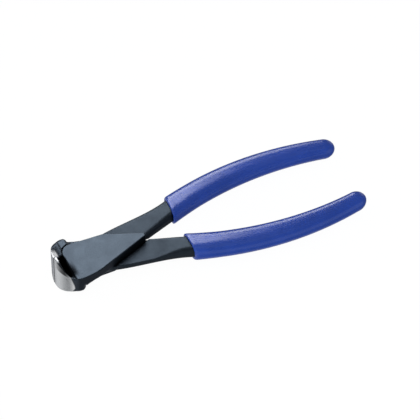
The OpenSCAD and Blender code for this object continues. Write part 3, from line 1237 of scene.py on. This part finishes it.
    def build(self) -> Piece:
        """Builds the lever's skin and the values that its finish reads.

        Returns:
            The piece in the lever's own frame.
        """
        x, y, z = self.grid()
        value = self.field(x[:, None, None], y[None, :, None], z[None, None, :])
        points, quads = skin(value, (x, y, z))
        bend = convexity(points, quads) / self.cell
        shares = {
            "ground": self.ground_share(points),
            # Share of painted shade, and of edge wear with its painted highlight.
            "forged": self.forged_share(points),
            "painted_shade": self.painted_shade_share(points),
            # Convex edges get wear and a painted edge highlight.
            "wear_and_highlight": ease((bend - self.wear_highlight_start) / self.wear_highlight_span),
        }
        return Piece("lever", points, quads, shares)


@dataclass
class Grip:
    """A dipped sleeve over a tang, open at the mouth and closed at the tip, in millimetres."""

    bow: Bow
    clearance: float = 0.1
    tip_l: float = 7.5
    square_l: float = 13
    crease_l: float = 22
    crease_power: float = 2.8
    body_power: float = 2.4
    around: int = 96
    along: int = 96
    lip_steps: int = 9
    tip_steps: int = 18
    cavity_steps: int = 24
    share_steps: int = 64
    mouth_swell: float = 0.15
    swell_l: float = 3
    tip_power: float = 2

    def ring(self, turn: float, half_w: float, half_t: float, power: float, skew: float) -> np.ndarray:
        """One ring of the sleeve.

        Args:
            turn: place on the bow, in degrees.
            half_w: half the width across the handle.
            half_t: half the thickness.
            power: how square the section is, 2 for an ellipse.
            skew: turn of the ring out of square with the bow, in degrees.

        Returns:
            The ring's points.
        """
        a = np.linspace(0, math.tau, self.around, endpoint=False)
        u = np.sign(np.cos(a)) * np.abs(np.cos(a)) ** (2 / power) * half_w / math.cos(math.radians(skew))
        v = np.sign(np.sin(a)) * np.abs(np.sin(a)) ** (2 / power) * half_t
        centre, across = self.bow.at(turn), self.bow.out(turn + skew)
        return np.stack([centre[0] + across[0] * u, centre[1] + across[1] * u, v], axis=1)

    def station(self, length: float, grow: float) -> np.ndarray:
        """Ring of the sleeve's skin at a length from the mouth, grown from the tang.

        Args:
            length: distance along the bow from the mouth.
            grow: distance from the tang's own section.

        Returns:
            The ring's points.
        """
        bow = self.bow
        turn = bow.mouth_turn + length * bow.turn_per_mm
        share = np.clip((turn - bow.mouth_turn) / (bow.end_turn - bow.mouth_turn), 0, 1)
        steps = np.linspace(0, 1, self.share_steps + 1)
        t = float(np.interp(share, bow.share(steps), steps))
        skew = (bow.mouth_lean - bow.mouth_turn) * (1 - float(ease(length / self.square_l)))
        power = mix(self.crease_power, self.body_power, float(ease(length / self.crease_l)))
        return self.ring(turn, bow.width(t) / 2 + grow, bow.half_t(t) + grow, power, skew)

    def build(self) -> Piece:
        """Builds the closed sleeve: cavity, round lip, skin and tip.

        Returns:
            The piece in the grip's own frame.
        """
        bow = self.bow
        bar_l = (bow.end_turn - bow.mouth_turn) / bow.turn_per_mm
        skin_l = (bow.tip_turn - bow.mouth_turn) / bow.turn_per_mm - self.tip_l
        lip_r = (bow.wall - self.clearance) / 2
        cavity = np.linspace(bar_l, 2 * lip_r, self.cavity_steps)
        rings = [self.station(length, self.clearance) for length in cavity]
        for a in np.linspace(0, math.pi, self.lip_steps):
            grow = self.clearance + lip_r * (1 - math.cos(a))
            rings.append(self.station(lip_r * (1 - math.sin(a)), grow))
        for length in np.linspace(lip_r, skin_l, self.along)[1:]:
            swell = self.mouth_swell * math.exp(-(length / self.swell_l) ** 2)
            rings.append(self.station(length, bow.wall + swell))
        for a in np.linspace(0, math.pi / 2, self.tip_steps)[1:-1]:
            turn = bow.tip_turn - self.tip_l * (1 - math.sin(a)) * bow.turn_per_mm
            draw = math.cos(a)
            half_w, half_t = (bow.end_w / 2 + bow.wall) * draw, (bow.end_t / 2 + bow.wall) * draw
            rings.append(self.ring(turn, half_w, half_t, mix(self.tip_power, self.body_power, draw), 0))
        last = (len(rings) - 1) * self.around
        faces = tube(len(rings), self.around)
        faces += [tuple(reversed(range(self.around))), tuple(range(last, last + self.around))]
        return Piece("grip", np.concatenate(rings), faces)


@dataclass
class Rivet:
    """The flush rivet: a pin with two countersunk heads drawn out thin over their seats, in millimetres."""

    plate_h: float
    radius: float = 4
    head_r: float = 6
    head_h: float = 2.2
    flush_r: float = 6.5
    proud: float = 0.015
    lift: float = 0.003
    centre_r: float = 0.4
    face_rings: int = 12
    around: int = 96

    def profile(self) -> np.ndarray:
        """Half section of the rivet.

        Returns:
            Radius and level of each point, from the centre of the upper face to that of the lower one.
        """
        top, low = self.plate_h + self.proud, self.plate_h + self.lift
        face = [[r, top] for r in np.linspace(self.centre_r, self.flush_r - 2 * self.proud, self.face_rings)]
        rim = [[self.flush_r - self.proud / 4, top], [self.flush_r, low], [self.head_r, low]]
        pin = [[self.radius, self.plate_h - self.head_h], [self.radius, self.plate_h / 2]]
        upper = np.array(face + rim + pin)
        return np.concatenate([upper, upper[::-1] * np.array([1, -1])])

    def build(self) -> Piece:
        """Builds the turned pin.

        Returns:
            The piece, its own frame on the rivet's axis.
        """
        rings = [circle(r, h, self.around) for r, h in self.profile()]
        faces = tube(len(rings), self.around, turned=True)
        last = (len(rings) - 1) * self.around
        faces += [tuple(range(self.around)), tuple(reversed(range(last, last + self.around)))]
        return Piece("rivet", np.concatenate(rings), faces)


@dataclass
class Nippers:
    """The whole tool: both levers, the rivet and both grips."""

    setting: Setting
    oxide: BlackOxide = BlackOxide()
    rivet_steel: RivetSteel = RivetSteel()
    vinyl: DippedVinyl = DippedVinyl()

    def dress(self, made: bpy.types.Object, side: Side, node: str) -> None:
        """Lets a piece stand for its node.

        Args:
            made: the piece.
            side: the lever whose body it rides on.
            node: the node that it stands for.
        """
        made.name = f"{node}_dressed"
        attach(made, side.value)
        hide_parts(node)
        LOG.info("%s: %d points, %d faces", made.name, len(made.data.vertices), len(made.data.polygons))

    def build(self) -> None:
        """Builds and dresses every piece."""
        into_part = self.setting.into_part
        bow = Bow(length=self.setting.length)
        lever = Lever(bow=bow, edge_h=self.setting.edge_h)
        forged, sleeve, rivet = lever.build(), Grip(bow=bow).build(), Rivet(plate_h=lever.plate_h).build()
        steel, vinyl = self.oxide.material(), self.vinyl.material()
        for side in Side:
            made = forged.make(into_part(forged.points, side), steel)
            self.dress(made, side, f"{side.value}_lever")
            made = sleeve.make(into_part(sleeve.points, side), vinyl)
            self.dress(made, side, f"{side.value}_grip")
        places = into_part(rivet.points + np.array([lever.pivot_x, 0, 0]), Side.FRONT)
        self.dress(rivet.make(places, self.rivet_steel.material()), Side.BACK, "pivot_rivet")


@dataclass(frozen=True)
class Softbox:
    """A soft area light that faces the tool, in metres."""

    name: str
    towards: Colour
    distance: float
    aim: Colour
    width: float
    height: float
    radiance: float
    colour: Colour = (1, 1, 1)
    round: bool = False
    diffuse: bool = False

    def place(self) -> None:
        """Sets up the light at its distance, facing its aim."""
        lamp = bpy.data.lights.new(self.name, "AREA")
        lamp.shape = "ELLIPSE" if self.round else "RECTANGLE"
        lamp.size, lamp.size_y = self.width, self.height
        lamp.energy = self.radiance * math.pi * self.width * self.height * (math.pi / 4 if self.round else 1)
        lamp.color = self.colour
        made = link(self.name, lamp)
        direction = Vector(self.towards).normalized()
        made.location = Vector(self.aim) + direction * self.distance
        made.rotation_mode = "QUATERNION"
        made.rotation_quaternion = direction.to_track_quat("Z", "Y")
        made.visible_camera = False
        made.visible_diffuse, made.visible_glossy = self.diffuse, not self.diffuse


@dataclass(frozen=True)
class Zone:
    """A patch of the room: its colour, and the spans along the axes over which it comes in."""

    colour: Colour
    limits: tuple[tuple[Axis, float, float], ...]


@dataclass(frozen=True)
class Room:
    """The room round the tool, which only its reflections show."""

    upper: Colour = (0.30, 0.31, 0.34)
    upper_zones: tuple[Zone, ...] = (Zone((1.1, 1.1, 1.1), ((Axis.X, -0.3, -0.65), (Axis.Z, 0.8, 0.45))),)
    lower: Colour = (0.28, 0.29, 0.30)
    lower_zones: tuple[Zone, ...] = (
        Zone((1.05, 1.06, 1.07), ((Axis.Y, -0.05, 0.6),)),
        Zone((1.1, 1.1, 1.1), ((Axis.Y, -0.12, -0.36),)),
        Zone((0.19, 0.20, 0.23), ((Axis.X, -0.42, -0.2),)),
        Zone((0.75, 0.76, 0.78), ((Axis.Z, -0.82, -0.95),)),
    )
    horizon: Span = (-0.2, 0.25)
    cards: tuple[Zone, ...] = (
        Zone((0.70, 0.76, 0.80), ((Axis.Y, -0.2, -0.7), (Axis.Z, -0.62, -0.35), (Axis.Z, 0.4, 0.1))),
        Zone(
            (1.1, 1.1, 1.1),
            ((Axis.X, 0.6, 0.7), (Axis.Y, 0.35, 0.5), (Axis.Z, -0.3, -0.15), (Axis.Z, 0.25, 0.12)),
        ),
    )

    def build(self) -> None:
        """Makes the room the scene's world."""
        nodes = Nodes(bpy.data.worlds.new("room"), "Background")
        along = nodes.direction()

        def patched(colour: Source, zones: tuple[Zone, ...]) -> Source:
            """Lays zones over a colour in turn.

            Args:
                colour: what lies below.
                zones: what is laid over it.

            Returns:
                The patched colour.
            """
            for zone in zones:
                share, *more = (nodes.span(along[axis], low, high) for axis, low, high in zone.limits)
                for other in more:
                    share = nodes.math("MULTIPLY", share, other)
                colour = nodes.mix_colour(share, colour, zone.colour)
            return colour

        lower, upper = patched(self.lower, self.lower_zones), patched(self.upper, self.upper_zones)
        room = nodes.mix_colour(nodes.span(along[Axis.Z], *self.horizon), lower, upper)
        nodes.set("Color", patched(room, self.cards))
        bpy.context.scene.world = nodes.owner


@dataclass
class Studio:
    """Pale floor and backdrop, soft light from above and behind, and the camera, in metres and degrees."""

    aim: Colour = (0.008455, 0.009597, 0.008119)
    azimuth: float = -23.8
    elevation: float = 49.34
    camera_distance: float = 2.2423
    image_side_px: float = 420
    focal_px: float = 3600
    clip_start: float = 0.01
    room_r: float = 4
    floor_around: int = 96
    floor_glow: float = 0.975
    floor_albedo: float = 0.05
    dome_around: int = 64
    dome_rings: int = 16
    dome_share: float = 0.98
    backdrop_glow: float = 0.985

    @property
    def back(self) -> Vector:
        """Direction from the tool to the camera."""
        a, e = math.radians(self.azimuth), math.radians(self.elevation)
        return Vector((math.sin(a) * math.cos(e), -math.cos(a) * math.cos(e), math.sin(e)))

    def camera(self) -> None:
        """Sets the camera at the photograph's angle."""
        lens = bpy.data.cameras.new("camera")
        lens.lens = lens.sensor_width * self.focal_px / self.image_side_px
        lens.clip_start, lens.clip_end = self.clip_start, 4 * self.room_r
        made = link("camera", lens)
        made.location = Vector(self.aim) + self.back * self.camera_distance
        made.rotation_mode = "QUATERNION"
        made.rotation_quaternion = (-self.back).to_track_quat("-Z", "Y")
        bpy.context.scene.camera = made

    def lights(self) -> None:
        """Sets the softboxes: the key where flat tops mirror it, one behind and a fill from the front."""
        mirrored = (-self.back.x, -self.back.y, self.back.z)
        middle = (0.03, 0, 0.01)
        boxes = (
            Softbox(
                "key_softbox",
                towards=mirrored,
                distance=0.26,
                aim=(-0.086, -0.006, 0.019),
                width=0.20,
                height=0.18,
                radiance=6.7,
                round=True,
            ),
            Softbox(
                "back_softbox",
                towards=(0.17, 0.80, 0.43),
                distance=0.93,
                aim=middle,
                width=0.36,
                height=0.32,
                radiance=7.0,
            ),
            Softbox(
                "fill_softbox",
                towards=(-0.10, -0.30, 0.95),
                distance=0.9,
                aim=middle,
                width=0.8,
                height=0.6,
                radiance=1.35,
                colour=(0.8, 0.95, 1.0),
                diffuse=True,
            ),
        )
        for box in boxes:
            box.place()

    def stage(self) -> None:
        """Sets the pale floor and the backdrop, which only the camera sees."""
        floor = circle(self.room_r, 0, self.floor_around)
        self.shell("floor", floor, [tuple(range(self.floor_around))], self.floor_albedo, self.floor_glow)
        rise = np.linspace(0, self.dome_share * math.pi / 2, self.dome_rings)
        radii, levels = self.room_r * np.cos(rise), self.room_r * np.sin(rise)
        rings = [circle(radius, level, self.dome_around) for radius, level in zip(radii, levels)]
        last = (self.dome_rings - 1) * self.dome_around
        faces = tube(self.dome_rings, self.dome_around, turned=True)
        faces.append(tuple(range(last, last + self.dome_around)))
        self.shell("backdrop", np.concatenate(rings), faces, 0.0, self.backdrop_glow)

    def shell(self, name: str, points: np.ndarray, faces: Faces, albedo: float, glow: float) -> None:
        """Makes a plain pale surface that glows, so that shadows on it stay faint.

        Args:
            name: name of the surface.
            points: its points, in metres.
            faces: its faces.
            albedo: share of light that it throws back.
            glow: its own light.
        """
        mesh = bpy.data.meshes.new(name)
        mesh.from_pydata(points.tolist(), [], faces)
        nodes = Nodes(bpy.data.materials.new(f"pale_{name}"), PRINCIPLED)
        nodes.set("Base Color", (albedo, albedo, albedo))
        nodes.set("Roughness", 1.0)
        nodes.set("Specular IOR Level", 0.0)
        nodes.set("Emission Color", (1, 1, 1))
        nodes.set("Emission Strength", glow)
        mesh.materials.append(nodes.owner)
        made = link(name, mesh)
        made.visible_diffuse = made.visible_glossy = made.visible_shadow = False
        made.visible_transmission = False
        made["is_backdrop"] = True

    def build(self) -> None:
        """Sets up the camera, the lights, the room and the stage, with plain colour reproduction."""
        bpy.context.scene.view_settings.view_transform = "Standard"
        self.camera()
        self.lights()
        Room().build()
        self.stage()


def corners() -> list[list[float]]:
    """Lowest and highest corner of what shows, as plain lists."""
    return [list(corner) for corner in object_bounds()]


def main() -> None:
    """Loads the frame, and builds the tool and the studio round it."""
    logging.basicConfig(level=logging.INFO, format="%(message)s")
    for left in list(bpy.data.objects):
        bpy.data.objects.remove(left)
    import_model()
    cad_box = corners()
    low, high = (np.array(corner) / MM for corner in cad_box)
    setting = Setting(length=float(high[0] - low[0]), edge_h=float(high[2] - low[2]) / 2)
    Nippers(setting).build()
    Studio().build()
    LOG.info("CAD box %s, visual box %s", cad_box, corners())


if __name__ == "__main__":
    main()
